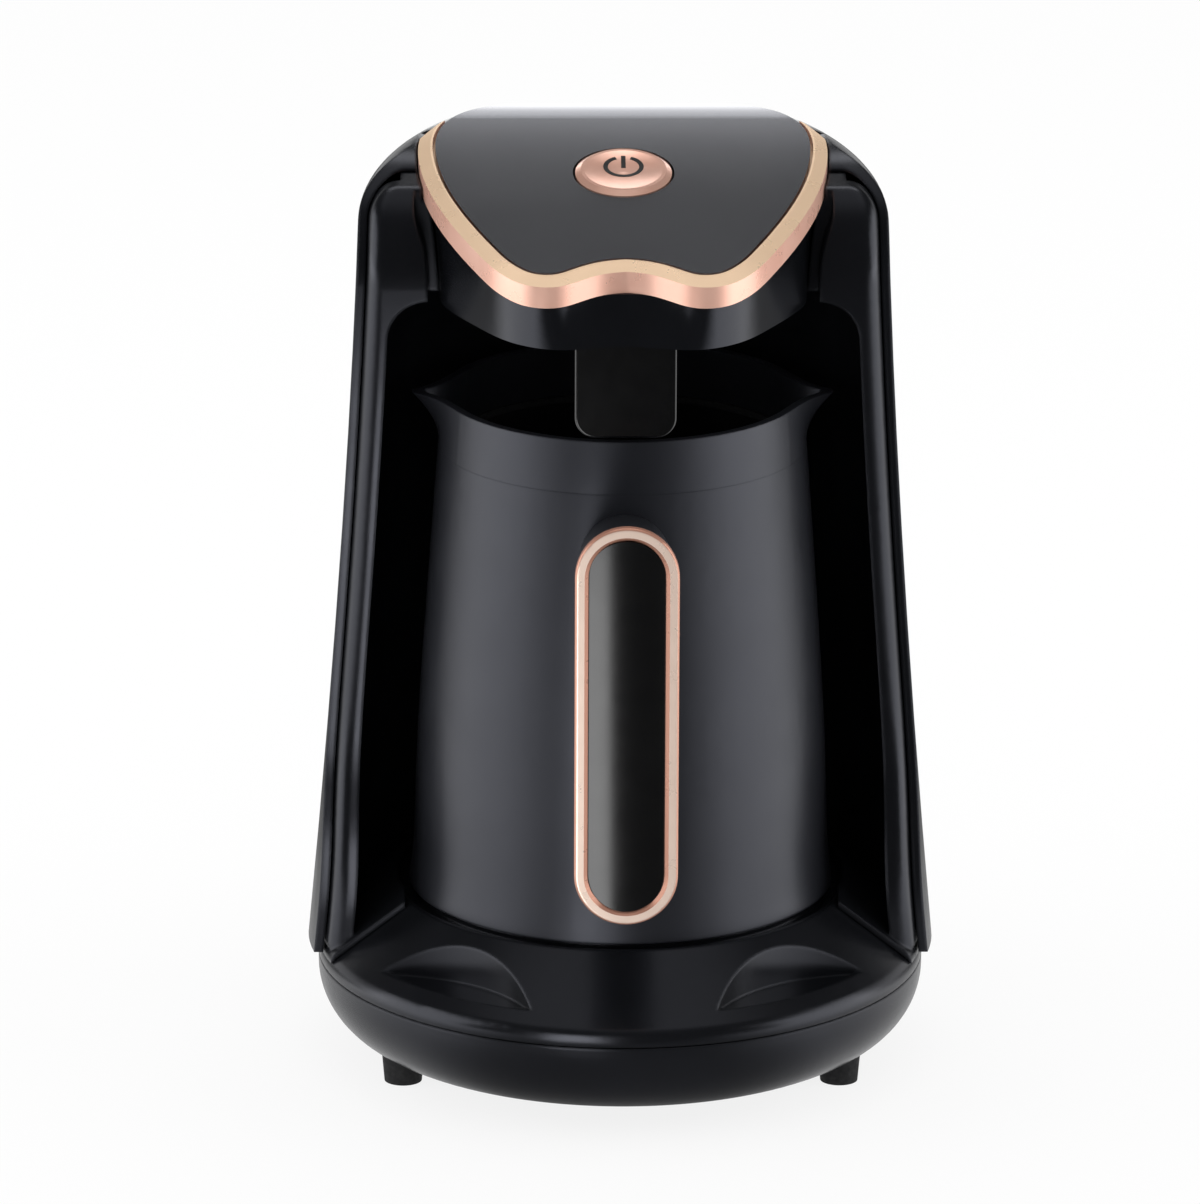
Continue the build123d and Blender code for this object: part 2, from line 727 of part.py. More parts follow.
with BuildPart() as head_bracket:
    with BuildSketch(Plane.XY.offset(head_z - 6)):
        with Locations((0, bracket_back / 2)):
            Rectangle(2 * bracket_half, bracket_back)
    extrude(amount=60)

with BuildPart() as frame_cavity:
    add(stand_form(frame_inset - 1, foot_z - 8))
    split(bisect_by=Plane.XZ.offset(-front_rim), keep=Keep.BOTTOM)
    add(bay_form(wall), mode=Mode.SUBTRACT)
    add(head_bracket.part, mode=Mode.SUBTRACT)

with BuildPart() as apron:
    add(deck_cone(-seam_gap - apron_thick))
    add(deck_cone(-seam_gap), mode=Mode.SUBTRACT)
    with BuildSketch(Plane.XY):
        Circle(seat_rim - 1)
        with Locations((0, -50)):
            Rectangle(2 * pot_foot_radius + 2, 100)
    extrude(amount=100, mode=Mode.SUBTRACT)
    split(bisect_by=Plane.XZ.offset(apron_front), keep=Keep.BOTTOM)
    split(bisect_by=Plane.XY.offset(band_z), keep=Keep.TOP)

# ---------------------------------------------------------------- plug and socket
socket_face = pot_foot_radius + 0.9
socket_flange_y = bay_back_at(seat_z) + wall + 0.1
pin_spots = [(x, plug_z) for x in (-pin_pitch, 0, pin_pitch)]
sleeve_y = socket_face + 3.0
sleeve_length = 8.0
sleeve_radius = 2.5
pin_tip_y = sleeve_y + 5.0
pin_gap = 0.08


def block(width, height, middle_z, low_y, high_y, round_off):
    """Upright rounded block between two planes along Y."""
    with BuildPart() as body:
        with BuildSketch(Plane.XZ.offset(-low_y)):
            with Locations((0, middle_z)):
                RectangleRounded(width, height, round_off)
        extrude(amount=low_y - high_y)
    return body.part


socket_end = sleeve_y + sleeve_length + 1.2

with BuildPart() as socket_housing:
    add(block(2 * socket_half, 2 * socket_high, plug_z, socket_face, socket_end, 2.0))
    add(block(2 * socket_half + 6, 2 * socket_high + 6, plug_z, socket_flange_y,
              socket_flange_y + 2, 2.0))
    add(across(socket_face, [(x, z, pin_radius + 0.4) for x, z in pin_spots], 4),
        mode=Mode.SUBTRACT)
    add(across(sleeve_y, [(x, z, sleeve_radius + 0.02) for x, z in pin_spots], 20),
        mode=Mode.SUBTRACT)

with BuildPart() as socket_contacts:
    add(across(sleeve_y, [(x, z, sleeve_radius) for x, z in pin_spots], sleeve_length + 1))
    add(across(sleeve_y, [(x, z, pin_radius + pin_gap) for x, z in pin_spots], sleeve_length),
        mode=Mode.SUBTRACT)
    add(across(sleeve_y + sleeve_length + 0.5, [(x, z, 1.0) for x, z in pin_spots], 4))

# ---------------------------------------------------------------- frame and back cover
boss_depth = 4.0            # the cover's screw bosses reach in this far
head_sink = 1.2             # the cover's screw heads lie this deep
cover_screw_length = 10.0


def cover_screw_level(x, z):
    """Where the stand's back lies at side x and height z."""
    return back_at(z) * math.sqrt(1 - (x / half_at(z)) ** 2)


def cover_bars(radius, start, length):
    """Bars along Y at the cover's screws, from start inside its outer surface, inwards."""
    with BuildPart() as bars:
        for x, z in cover_screw_spots:
            with BuildSketch(Plane.XZ.offset(start - cover_screw_level(x, z))):
                with Locations((x, z)):
                    Circle(radius)
            extrude(amount=length)
    return bars.part


with BuildPart() as frame_screw_posts:
    add(across(0, [(x, z, boss_radius) for x, z in cover_screw_spots], 100))
    add(stand_form(frame_inset + boss_depth + 0.2, foot_z - 8), mode=Mode.INTERSECT)
    add(bay_form(wall / 2), mode=Mode.SUBTRACT)

with BuildPart() as cover_bosses:
    add(across(0, [(x, z, boss_radius) for x, z in cover_screw_spots], 100))
    add(stand_form(cover_wall / 2, cover_z), mode=Mode.INTERSECT)
    add(stand_form(frame_inset + boss_depth, foot_z - 8), mode=Mode.SUBTRACT)

with BuildPart() as head_groove:
    with BuildSketch(Plane.XZ.offset(-groove_back)):
        with BuildLine():
            side = Spline(*[(half, head_z + rise) for half, rise in groove_side])
            Line(side @ 0, (0, head_z - 10))
            Polyline(side @ 1, side @ 1 + Vector(0, 30), (0, head_z + 63))
            mirror(about=Plane.YZ)
        make_face()
    extrude(amount=80)

with BuildPart() as cradle_frame:
    add(stand_form(frame_inset, band_z))
    add(wing_front(0), mode=Mode.SUBTRACT)
    fillet(cradle_frame.edges().filter_by(
        lambda edge: abs(edge.center().X) > bracket_half and -wing_toe < edge.center().Y < -7
        and edge.length > 20), wing_nose)
    add(frame_cavity.part, mode=Mode.SUBTRACT)
    add(bay_form(0), mode=Mode.SUBTRACT)
    add(head_groove.part, mode=Mode.SUBTRACT)
    add(frame_screw_posts.part)
    add(apron.part)
    add(deck_cone(-seam_gap), mode=Mode.SUBTRACT)
    add(head_pocket, mode=Mode.SUBTRACT)
    add(ring_pocket.part, mode=Mode.SUBTRACT)
    add(lid_pocket, mode=Mode.SUBTRACT)
    add(block(2 * socket_half + 0.2, 2 * socket_high + 0.2, plug_z, 40, 75, 2.0),
        mode=Mode.SUBTRACT)
    add(cover_bars(screw_radius + 0.05, head_sink + 2, cover_screw_length + 2),
        mode=Mode.SUBTRACT)
    add(across(head_back, [(x, z, screw_radius + 0.05) for x, z in head_screw_spots], 9),
        mode=Mode.SUBTRACT)

with BuildPart() as back_cover:
    add(stand_form(0, cover_z))
    add(stand_form(cover_wall, foot_z - 8), mode=Mode.SUBTRACT)
    add(cover_bosses.part)
    add(wing_front(cover_setback), mode=Mode.SUBTRACT)
    add(head_pocket, mode=Mode.SUBTRACT)
    add(ring_pocket.part, mode=Mode.SUBTRACT)
    add(lid_pocket, mode=Mode.SUBTRACT)
    add(cover_bars(screw_head + 0.4, -20, head_sink + 22), mode=Mode.SUBTRACT)
    add(cover_bars(screw_radius + 0.2, 0, 20), mode=Mode.SUBTRACT)

with BuildPart() as back_cover_screws:
    add(cover_bars(screw_head, head_sink, 2))
    add(cover_bars(screw_radius, head_sink + 2, cover_screw_length))

with BuildPart() as head_screws:
    add(across(head_back - wall - 2.2, [(x, z, screw_head) for x, z in head_screw_spots], 2))
    add(across(head_back - wall - 0.2, [(x, z, screw_radius) for x, z in head_screw_spots], 10))

with BuildPart() as clamp_screws:
    with BuildSketch(Plane.XY.offset(clamp_z + 4)):
        with Locations(*clamp_posts):
            Circle(2.6)
    extrude(amount=1.6)
    with BuildSketch(Plane.XY.offset(clamp_z + 4)):
        with Locations(*clamp_posts):
            Circle(1.2)
    extrude(amount=-10)

# ---------------------------------------------------------------- pot
mouth_z = pot_rim_z + lip_growth[0][0]     # where the pot's side turns into its mouth
plug_low_y = pot_foot_radius - 11.0
cover_radius = pot_foot_radius - pot_wall - 0.7
base_cover_thick = 2.4
plate_radius = pot_foot_radius - 12.0
plate_high = liner_floor_z - liner_wall
plate_low = plate_high - 3.4
element_radius = plate_radius - 13.0
element_tube = 3.0
post_ring = plate_radius - 5.0
shell_gap = 0.2
handle_screw_spots = [(0, handle_top - 18.3), (0, handle_bottom + 11.1)]

with BuildPart() as pot_shell:
    add(pot_form(0, pot_foot_z, mouth_z))
    add(mouth(0, 0))
    add(pot_form(pot_wall, pot_foot_z - 1, mouth_z), mode=Mode.SUBTRACT)
    add(mouth(pot_wall, 1), mode=Mode.SUBTRACT)
    add(block(plug_width + 0.2, plug_height + 0.2, plug_z, plug_low_y, plug_low_y + 20, 2.0),
        mode=Mode.SUBTRACT)
    add(across(-pot_foot_radius - 5, [(x, z, screw_radius + 0.05) for x, z in handle_screw_spots],
               pot_foot_radius), mode=Mode.SUBTRACT)

with BuildPart() as liner_hollow:
    add(pot_form(pot_wall + shell_gap + liner_wall, liner_floor_z, liner_rim_z + 1))
    fillet(liner_hollow.edges().group_by(Axis.Z)[0], liner_round - liner_wall)

with BuildPart() as pot_liner:
    add(pot_form(pot_wall + shell_gap, plate_high, liner_rim_z))
    fillet(pot_liner.edges().group_by(Axis.Z)[0], liner_round)
    add(liner_hollow.part, mode=Mode.SUBTRACT)

with BuildPart() as pot_seal:
    add(pot_form(pot_wall + shell_gap, liner_rim_z + fit, liner_rim_z + 1.6))
    add(pot_form(pot_wall + shell_gap + liner_wall, liner_rim_z - 1, liner_rim_z + 3),
        mode=Mode.SUBTRACT)

with BuildPart() as heater_plate:
    with BuildSketch(Plane.XY.offset(plate_low)):
        Circle(plate_radius)
    extrude(amount=plate_high - plate_low)
    with BuildSketch(Plane.XY.offset(plate_low)):
        with PolarLocations(post_ring, 3, start_angle=-90):
            Circle(screw_radius + 0.05)
    extrude(amount=2.4, mode=Mode.SUBTRACT)

with BuildPart() as heating_element:
    with BuildSketch(Plane.XZ):
        with Locations((element_radius, plate_low - element_tube)):
            Circle(element_tube)
    revolve(axis=Axis.Z, revolution_arc=300)

with BuildPart() as thermostat:
    with BuildSketch(Plane.XY.offset(plate_low)):
        Circle(8)
    extrude(amount=-5)
    with BuildSketch(Plane.XY.offset(plate_low - 5)):
        with Locations((-4, 0), (4, 0)):
            Rectangle(1, 4)
    extrude(amount=-3)

with BuildPart() as pot_base_cover:
    with BuildSketch(Plane.XY.offset(pot_foot_z)):
        Circle(cover_radius)
    extrude(amount=base_cover_thick)
    with BuildSketch(Plane.XY.offset(pot_foot_z)):
        with PolarLocations(post_ring, 3, start_angle=-90):
            Circle(boss_radius)
    extrude(amount=plate_low - pot_foot_z)
    with BuildSketch(Plane.XY.offset(pot_foot_z)):
        with PolarLocations(post_ring, 3, start_angle=-90):
            Circle(screw_radius + 0.2)
    extrude(amount=20, mode=Mode.SUBTRACT)
    with BuildSketch(Plane.XY.offset(pot_foot_z)):
        with PolarLocations(post_ring, 3, start_angle=-90):
            Circle(screw_head + 0.3)
    extrude(amount=3, mode=Mode.SUBTRACT)

with BuildPart() as pot_base_screws:
    with BuildSketch(Plane.XY.offset(pot_foot_z + 1.2)):
        with PolarLocations(post_ring, 3, start_angle=-90):
            Circle(screw_head)
    extrude(amount=1.8)
    with BuildSketch(Plane.XY.offset(pot_foot_z + 3)):
        with PolarLocations(post_ring, 3, start_angle=-90):
            Circle(screw_radius)
    extrude(amount=plate_low + 2.2 - pot_foot_z - 3)

with BuildPart() as pot_plug:
    add(block(plug_width, plug_height, plug_z, plug_low_y, plug_low_y + 20, 2.0))
    add(pot_form(0, plug_z - 20, plug_z + 20), mode=Mode.INTERSECT)
    add(across(plug_low_y + 2, [(x, z, pin_radius + 0.05) for x, z in pin_spots], 30),
        mode=Mode.SUBTRACT)

with BuildPart() as pot_pins:
    add(across(plug_low_y + 2, [(x, z, pin_radius) for x, z in pin_spots],
               pin_tip_y - plug_low_y - 2))
    fillet(pot_pins.edges().group_by(Axis.Y)[-1], 0.8)

# ---------------------------------------------------------------- handle
grip_back = -handle_reach + trim_depth      # plane that the trim sits on
handle_middle = (handle_top + handle_bottom) / 2
handle_height = handle_top - handle_bottom
arm_root_y = -36.0
arm_top = handle_top - 10.5
arm_bottom = handle_bottom + 2.6
finger_low = handle_bottom + 19.6
finger_high = handle_top - 26.3
insert_recess = 0.3         # the insert's middle, behind the trim's face
insert_bulge = 40.0         # radius by which the insert's face is bowed from side to side

with BuildPart() as pot_handle:
    loft([stadium(grip_back, handle_width, handle_height, handle_middle),
          stadium(arm_root_y, handle_width - 4, arm_top - arm_bottom, (arm_top + arm_bottom) / 2)])
    with BuildSketch(Plane.YZ):
        with Locations(((grip_back + handle_grip) / 2, (finger_low + finger_high) / 2)):
            RectangleRounded(-grip_back - handle_grip, finger_high - finger_low, 9)
    extrude(amount=handle_width, both=True, mode=Mode.SUBTRACT)
    add(pot_form(0, pot_foot_z, pot_rim_z), mode=Mode.SUBTRACT)
    add(across(grip_back, [(x, z, screw_head + 0.4) for x, z in handle_screw_spots], 6),
        mode=Mode.SUBTRACT)
    add(across(grip_back, [(x, z, screw_radius + 0.2) for x, z in handle_screw_spots], 60),
        mode=Mode.SUBTRACT)

with BuildPart() as handle_screws:
    add(across(grip_back + 4, [(x, z, screw_head) for x, z in handle_screw_spots], 2))
    add(across(grip_back + 6, [(x, z, screw_radius) for x, z in handle_screw_spots], 60))
    add(pot_form(pot_wall, pot_foot_z, pot_rim_z), mode=Mode.SUBTRACT)
    split(bisect_by=Plane.XZ.offset(0), keep=Keep.TOP)

with BuildPart() as handle_trim:
    extrude(stadium(-handle_reach, handle_width, handle_height, handle_middle),
            amount=-trim_depth)
    extrude(stadium(-handle_reach, handle_width - 2 * trim_width,
                    handle_height - 2 * trim_width, handle_middle),
            amount=-trim_depth, mode=Mode.SUBTRACT)
    front_edges = handle_trim.faces().sort_by(Axis.Y)[0]
    chamfer(front_edges.inner_wires()[0].edges(), 0.9)
    fillet(handle_trim.faces().sort_by(Axis.Y)[0].outer_wire().edges(), 0.8)

with BuildPart() as handle_insert:
    extrude(stadium(-handle_reach + insert_recess, handle_width - 2 * trim_width - 0.2,
                    handle_height - 2 * trim_width - 0.2, handle_middle),
            amount=insert_recess - trim_depth)
    with BuildSketch(Plane.XY):
        with Locations((0, insert_bulge + insert_recess - handle_reach)):
            Circle(insert_bulge)
    extrude(amount=2 * pot_rim_z, mode=Mode.INTERSECT)

# ---------------------------------------------------------------- files
pieces = {
    "base_bowl": base_bowl, "base_feet": base_feet, "base_deck": base_deck,
    "base_screws": base_screws, "power_board": power_board, "cord_inlet": cord_inlet,
    "cord_clamp": cord_clamp, "cradle_frame": cradle_frame, "back_cover": back_cover,
    "socket_housing": socket_housing, "socket_contacts": socket_contacts,
    "head_shell": head_shell, "sensor_tongue": sensor_tongue, "sensor_board": sensor_board,
    "control_board": control_board, "board_screws": board_screws, "buzzer": buzzer,
    "push_switch": push_switch, "trim_ring": trim_ring, "lid_panel": lid_panel,
    "button_cap": button_cap, "button_stem": button_stem, "switch_plunger": switch_plunger,
    "pot_shell": pot_shell, "pot_liner": pot_liner, "pot_seal": pot_seal,
    "heater_plate": heater_plate, "heating_element": heating_element,
    "thermostat": thermostat, "pot_base_cover": pot_base_cover,
    "pot_base_screws": pot_base_screws, "pot_plug": pot_plug, "pot_pins": pot_pins,
    "pot_handle": pot_handle, "handle_screws": handle_screws, "handle_trim": handle_trim,
    "handle_insert": handle_insert, "back_cover_screws": back_cover_screws,
    "head_screws": head_screws, "clamp_screws": clamp_screws,
}
for name, piece in pieces.items():
    piece.part.label = name
    export_step(piece.part, f"parts/{name}.step")
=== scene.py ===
"""Finishes, the mark on the button, floor, light and camera for the electric turkish coffee maker."""

import json
import math

import bpy
import numpy as np
from mathutils import Matrix, Vector


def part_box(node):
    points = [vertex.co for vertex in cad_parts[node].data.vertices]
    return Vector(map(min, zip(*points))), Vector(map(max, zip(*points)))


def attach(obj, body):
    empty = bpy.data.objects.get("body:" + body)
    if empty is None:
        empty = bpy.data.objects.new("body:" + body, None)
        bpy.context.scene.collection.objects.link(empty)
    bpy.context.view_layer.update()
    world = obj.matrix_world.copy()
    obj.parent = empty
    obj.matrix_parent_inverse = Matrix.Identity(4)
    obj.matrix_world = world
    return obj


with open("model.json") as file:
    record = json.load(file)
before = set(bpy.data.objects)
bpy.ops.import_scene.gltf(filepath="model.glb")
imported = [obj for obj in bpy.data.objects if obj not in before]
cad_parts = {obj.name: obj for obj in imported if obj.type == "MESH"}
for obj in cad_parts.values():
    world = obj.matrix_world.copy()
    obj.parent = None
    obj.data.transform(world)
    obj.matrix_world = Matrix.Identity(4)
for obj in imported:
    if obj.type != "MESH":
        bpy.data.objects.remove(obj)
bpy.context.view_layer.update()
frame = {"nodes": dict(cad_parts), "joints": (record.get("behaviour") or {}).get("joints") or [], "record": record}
nodes = frame["nodes"]
scene = bpy.context.scene
MM = 0.001


# ---------------------------------------------------------------- colours and nodes
def linear(code):
    """Linear RGBA of an sRGB colour written as #RRGGBB."""
    parts = [int(code[i:i + 2], 16) / 255 for i in (1, 3, 5)]
    return tuple(p / 12.92 if p <= 0.04045 else ((p + 0.055) / 1.055) ** 2.4 for p in parts) + (1.0,)


def node(tree, kind, sockets=None, **settings):
    """Adds a node. Settings are its own properties, sockets the values or links of its inputs."""
    made = tree.nodes.new(kind)
    for name, value in settings.items():
        setattr(made, name, value)
    for name, value in (sockets or {}).items():
        if isinstance(value, bpy.types.NodeSocket):
            tree.links.new(value, made.inputs[name])
        else:
            made.inputs[name].default_value = value
    return made


# ---------------------------------------------------------------- finishes
noise_low, noise_high = 0.3, 0.7     # nearly all of a noise's values lie between these


def finish(name, tones, cloud, rough, patch, grain, depth, stretch=(1, 1, 1), edge=0, **values):
    """A material described by its surface, with lengths in millimetres.

    Its two tones drift into each other in clouds of the size cloud, its roughness wanders over the range
    rough in patches of the size patch, and its grain stands depth high with features of the size grain,
    drawn out along the axis whose stretch is smallest. With an edge, corners catch the light as if they
    were rounded by that radius. Values are sockets of the shader that are the same all over.
    """
    material = bpy.data.materials.new(name)
    material.use_nodes = True
    tree = material.node_tree
    shader = tree.nodes["Principled BSDF"]
    place = node(tree, "ShaderNodeTexCoord").outputs["Object"]
    clouds = node(tree, "ShaderNodeTexNoise", {"Vector": place, "Scale": 1 / (cloud * MM), "Detail": 3.0})
    share = node(tree, "ShaderNodeMapRange",
                 {"Value": clouds.outputs["Fac"], "From Min": noise_low, "From Max": noise_high})
    tone = node(tree, "ShaderNodeMix",
                {0: share.outputs["Result"], 6: linear(tones[0]), 7: linear(tones[1])}, data_type="RGBA")
    patches = node(tree, "ShaderNodeTexNoise", {"Vector": place, "Scale": 1 / (patch * MM), "Detail": 3.0})
    roughness = node(tree, "ShaderNodeMapRange",
                     {"Value": patches.outputs["Fac"], "From Min": noise_low, "From Max": noise_high,
                      "To Min": rough[0], "To Max": rough[1]})
    drawn = node(tree, "ShaderNodeMapping", {"Vector": place, "Scale": stretch})
    grains = node(tree, "ShaderNodeTexNoise",
                  {"Vector": drawn.outputs["Vector"], "Scale": 1 / (grain * MM), "Detail": 2.0})
    raised = node(tree, "ShaderNodeBump",
                  {"Height": grains.outputs["Fac"], "Distance": depth * MM, "Strength": 1.0})
    if edge:
        rounded = node(tree, "ShaderNodeBevel", {"Radius": edge * MM}, samples=4)
        tree.links.new(rounded.outputs["Normal"], raised.inputs["Normal"])
    tree.links.new(tone.outputs[2], shader.inputs["Base Color"])
    tree.links.new(roughness.outputs["Result"], shader.inputs["Roughness"])
    tree.links.new(raised.outputs["Normal"], shader.inputs["Normal"])
    for key, value in values.items():
        shader.inputs[key].default_value = value
    return material


# Real grains are finer than a picture of the whole machine can show, from about 0.05 to 0.2 mm. Where a
# comment below says coarser, the grain is drawn larger than life and kept very shallow.
cool = {"Specular Tint": linear("#E9ECFB")}    # the black plastics mirror slightly blue

# polished moulded ABS: near black, soft-edged reflections with a faint orange peel 3.5 mm wide
gloss = finish("gloss_black_abs", ("#0B0C0E", "#0F1013"), 22, (0.22, 0.27), 9, 3.5, 0.002, edge=1.1,
               IOR=1.5, **cool)
# the same, polished higher: the reflections on the head's wall are crisper
polished = finish("polished_black_abs", ("#0B0C0E", "#0F1013"), 22, (0.15, 0.19), 9, 3.5, 0.001, IOR=1.5,
                  **cool)
# polished polycarbonate inside the bright border: deep black under an even reflection
mirror = finish("mirror_black_polycarbonate", ("#040405", "#070708"), 18, (0.2, 0.23), 7, 5, 0.0005,
                IOR=1.585)
# heat-proof PBT from a finely eroded mould: black with a soft broad sheen, its grain coarser
satin = finish("satin_black_pbt", ("#15161A", "#1A1B1F"), 30, (0.36, 0.4), 12, 1.4, 0.002, edge=0.6,
               IOR=1.55, **cool)
# smoked polycarbonate, polished: looks black and deep
lens = finish("smoked_polycarbonate", ("#040405", "#070708"), 10, (0.16, 0.2), 5, 3, 0.001, IOR=1.58)
# satin lacquer with fine metal flake: an even grey that lightens towards the light, its flake coarser
graphite = finish("satin_graphite_lacquer", ("#898A8F", "#8F9095"), 0.5, (0.21, 0.22), 30, 0.5, 0.0004,
                  Metallic=1.0)
# rose gold plating on moulded plastic, satin: warm, and less metallic than solid plating, so that it
# scatters part of the light and stays bright where there is little to mirror
rose = finish("rose_gold_plating", ("#F2BAA5", "#F8C7B3"), 12, (0.26, 0.32), 6, 1.2, 0.0005,
              Metallic=0.45)
# the same plating polished brighter for the button's cap: it mirrors more sharply
bright_rose = finish("bright_rose_gold_plating", ("#F3BCA6", "#F8C8B4"), 9, (0.18, 0.24), 5, 1.6, 0.0008,
                     Metallic=0.6)
# moulded rubber: matt and dark, its fine grain coarser
rubber = finish("moulded_rubber", ("#121214", "#1E1E20"), 0.8, (0.7, 0.9), 1.5, 0.8, 0.03, IOR=1.45)
# glass-filled nylon: dull black with pale flecks of fibre, coarser
nylon = finish("glass_filled_nylon", ("#171719", "#242427"), 1, (0.5, 0.65), 2, 1, 0.008, IOR=1.53)
# sprayed non-stick coating: soft black with a dull gloss, its fine pebble coarser
non_stick = finish("sprayed_non_stick", ("#08080A", "#0F0F11"), 0.9, (0.38, 0.5), 4, 0.9, 0.005, IOR=1.4)
# zinc-plated steel: pale grey with clouds of passivation
zinc = finish("zinc_plated_steel", ("#7C7C80", "#A2A2A6"), 0.8, (0.3, 0.4), 1, 0.4, 0.004, Metallic=1.0)
# brushed stainless steel: lines up and down, coarser
steel = finish("brushed_stainless_steel", ("#8E8E90", "#B4B4B6"), 3, (0.23, 0.34), 2, 0.6, 0.004,
               (1, 1, 0.08), Metallic=1.0)
# pressed aluminium: pale, drawn along the sheet, its lines coarser
plate = finish("pressed_aluminium", ("#9A9C9F", "#BCBEC1"), 4, (0.35, 0.46), 3, 1.2, 0.004, (1, 0.16, 1),
               Metallic=1.0)
# turned brass: yellow, with lines round the pin, coarser
brass = finish("turned_brass", ("#A98644", "#CBAA63"), 2, (0.2, 0.3), 1, 0.3, 0.003, (1, 8, 1),
               Metallic=1.0)
# solder mask on glass laminate: satin green
boards = finish("green_solder_mask", ("#1F4A30", "#265539"), 3, (0.3, 0.42), 2, 2, 0.004, IOR=1.52)
# pad-printed ink: flat and slightly satin
ink_black = finish("pad_printed_ink", ("#020202", "#050505"), 1.5, (0.5, 0.58), 1, 0.5, 0.0005, IOR=1.4)

# paler copper tracks under the mask
track_pitch = 4 * MM
tree = boards.node_tree
shader = tree.nodes["Principled BSDF"]
place = node(tree, "ShaderNodeTexCoord").outputs["Object"]
cells = node(tree, "ShaderNodeTexVoronoi", {"Vector": place, "Scale": 1 / track_pitch},
             distance="CHEBYCHEV", feature="F1")
tracks = node(tree, "ShaderNodeMapRange",
              {"Value": cells.outputs["Distance"], "From Min": 0.36, "From Max": 0.4})
tone = node(tree, "ShaderNodeMix",
            {0: tracks.outputs["Result"], 6: shader.inputs["Base Color"].links[0].from_socket,
             7: linear("#34734C")}, data_type="RGBA")
tree.links.new(tone.outputs[2], shader.inputs["Base Color"])

# painted highlight: the ring's bevel is painted a paler champagne where its surface faces up
rose_with_painted_highlight_bevel = rose.copy()
rose_with_painted_highlight_bevel.name = "rose_gold_with_painted_highlight_bevel"
tree = rose_with_painted_highlight_bevel.node_tree
shader = tree.nodes["Principled BSDF"]
facing = node(tree, "ShaderNodeNewGeometry").outputs["Normal"]
upwards = node(tree, "ShaderNodeSeparateXYZ", {0: facing}).outputs["Z"]
painted_highlight_share = node(tree, "ShaderNodeMapRange", {"Value": upwards, "From Min": 0.4, "From Max": 0.55})
tone = node(tree, "ShaderNodeMix",
            {0: painted_highlight_share.outputs["Result"], 6: shader.inputs["Base Color"].links[0].from_socket,
             7: linear("#FBD9B6")}, data_type="RGBA")
tree.links.new(tone.outputs[2], shader.inputs["Base Color"])

# the grip's border: its forward-facing face is painted pale as a highlight, its sloping edges are painted a deeper
# rose as shade
rose_with_painted_highlight_face = rose.copy()
rose_with_painted_highlight_face.name = "rose_gold_with_painted_highlight_face"
tree = rose_with_painted_highlight_face.node_tree
shader = tree.nodes["Principled BSDF"]
facing = node(tree, "ShaderNodeNewGeometry").outputs["Normal"]
forwards = node(tree, "ShaderNodeSeparateXYZ", {0: facing}).outputs["Y"]
# painted highlight and shade: pale where the face points forward, deep rose where it slopes away
flat = node(tree, "ShaderNodeMapRange", {"Value": forwards, "From Min": -0.85, "From Max": -0.97})
tone = node(tree, "ShaderNodeMix",
            {0: flat.outputs["Result"], 6: linear("#C48E79"), 7: linear("#FDE3D2")}, data_type="RGBA")
tree.links.new(tone.outputs[2], shader.inputs["Base Color"])

slot_finish = {
    "gloss_shell": gloss, "pot_plastic": satin, "smoked_plastic": lens,
    "inner_plastic": nylon, "rubber": rubber, "rose_gold": rose,
    "graphite_lid": graphite, "steel": steel, "screw_steel": zinc,
    "aluminium": plate, "brass": brass, "circuit_board": boards,
}
own_finish = {
    "pot_liner": non_stick, "trim_ring": rose_with_painted_highlight_bevel, "button_cap": bright_rose, "handle_insert": mirror,
    "handle_trim": rose_with_painted_highlight_face, "head_shell": polished,
}
for part in frame["record"]["subparts"]:
    mesh = nodes[part["node"]].data
    mesh.materials.clear()
    mesh.materials.append(own_finish.get(part["node"], slot_finish[part["material_slot"]]))


# ---------------------------------------------------------------- mark on the button
def points_of(name):
    """All the points of a CAD node, one row each."""
    vertices = nodes[name].data.vertices
    flat = np.empty(len(vertices) * 3, np.float32)
    vertices.foreach_get("co", flat)
    return flat.reshape(-1, 3).astype(float)


def grid_object(name, points, material):
    """A surface through a grid of points, rows by columns by xyz, as an object at the origin."""
    rows, columns = points.shape[:2]
    index = np.arange(rows * columns).reshape(rows, columns)
    faces = np.stack([index[:-1, :-1], index[:-1, 1:], index[1:, 1:], index[1:, :-1]], -1)
    mesh = bpy.data.meshes.new(name)
    mesh.from_pydata(points.reshape(-1, 3).tolist(), [], faces.reshape(-1, 4).tolist())
    mesh.materials.append(material)
    made = bpy.data.objects.new(name, mesh)
    scene.collection.objects.link(made)
    return made


press = next(joint for joint in frame["joints"] if joint["name"] == "button_press")
out_of_lid = -np.array(press["axis"])
up_slope = np.array((0, out_of_lid[2], -out_of_lid[1]))
low, high = (np.array(corner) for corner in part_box("button_cap"))
cap_middle = (low + high) / 2
cap_points = points_of("button_cap") - cap_middle
cap_height = (cap_points @ out_of_lid).max()
dish_radius = 9.5 * MM       # the dished middle of the button
dish_depth = 0.7 * MM
mark_radius = 4.35 * MM      # middle of the mark's stroke
mark_stroke = 1.1 * MM
mark_rise = 2.2 * MM         # the mark sits this far up the slope from the button's middle
mark_gap = math.radians(24)  # half the opening at its top
bar_foot = -0.4 * MM         # the bar's lower end, from the ring's middle
bar_over = 0.6 * MM          # how far the bar rises past the middle of the ring's stroke
ink = 0.03 * MM


def stroke(name, u, v):
    """A printed stroke over a grid of places on the button, u across it and v up the slope.

    The dish is a shallow paraboloid: its depth falls off with the square of the distance from its middle.
    """
    dish = -dish_depth * (1 - (u ** 2 + v ** 2) / dish_radius ** 2)
    points = (cap_middle + u[..., None] * np.array((1, 0, 0)) + v[..., None] * up_slope
              + (cap_height + dish + ink)[..., None] * out_of_lid)
    made = grid_object(name, points, ink_black)
    thick = made.modifiers.new("thickness", "SOLIDIFY")
    thick.thickness = 2 * ink
    thick.offset = 0
    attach(made, "button")


